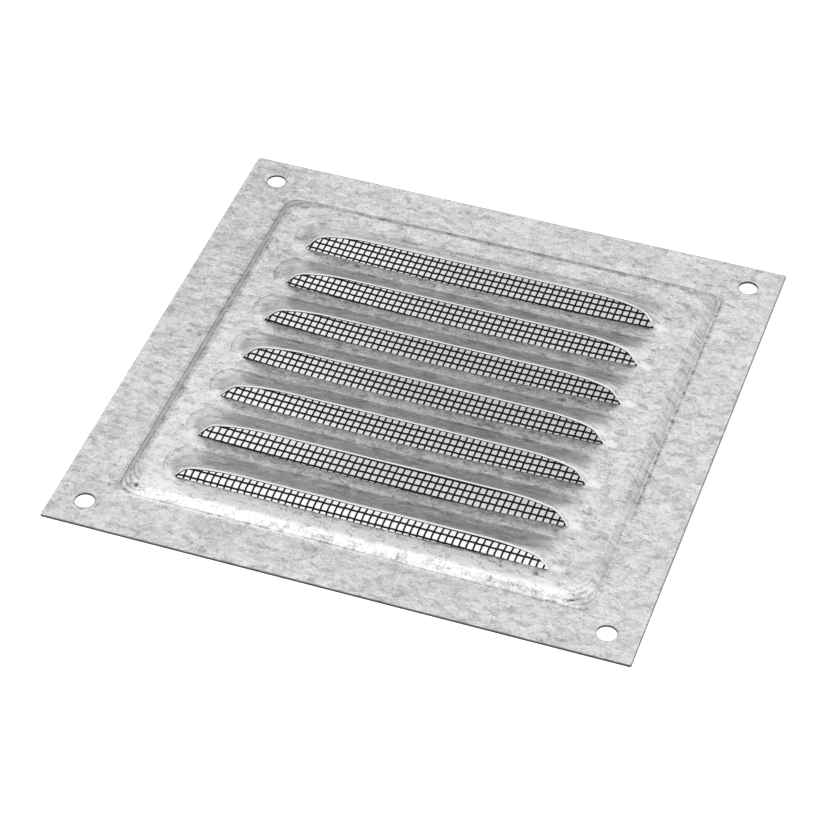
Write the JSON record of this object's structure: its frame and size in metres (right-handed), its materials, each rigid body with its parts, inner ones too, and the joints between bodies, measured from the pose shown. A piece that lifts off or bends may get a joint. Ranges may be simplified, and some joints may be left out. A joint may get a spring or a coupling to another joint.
{
  "type": "ventilation grille",
  "caption": "Square pressed sheet-metal ventilation grille with a raised panel of louvre hoods, an insect mesh behind it and a screw hole in each corner.",
  "frame": {"origin": "centre of the back face, where the flange lies on the wall", "axes": "+Z out of the wall towards the room; X along the louvres; +Y towards the top edge, so the louvre mouths face -Y"},
  "size_m": [0.15, 0.15, 0.0084],
  "materials": {
    "galvanised_sheet": "bare zinc-coated steel sheet with a fine spangle, satin",
    "mesh_wire": "dark thin wire, satin"
  },
  "bodies": {
    "root": {"pressed_plate": "galvanised_sheet", "insect_mesh": "mesh_wire"}
  },
  "joints": []
}
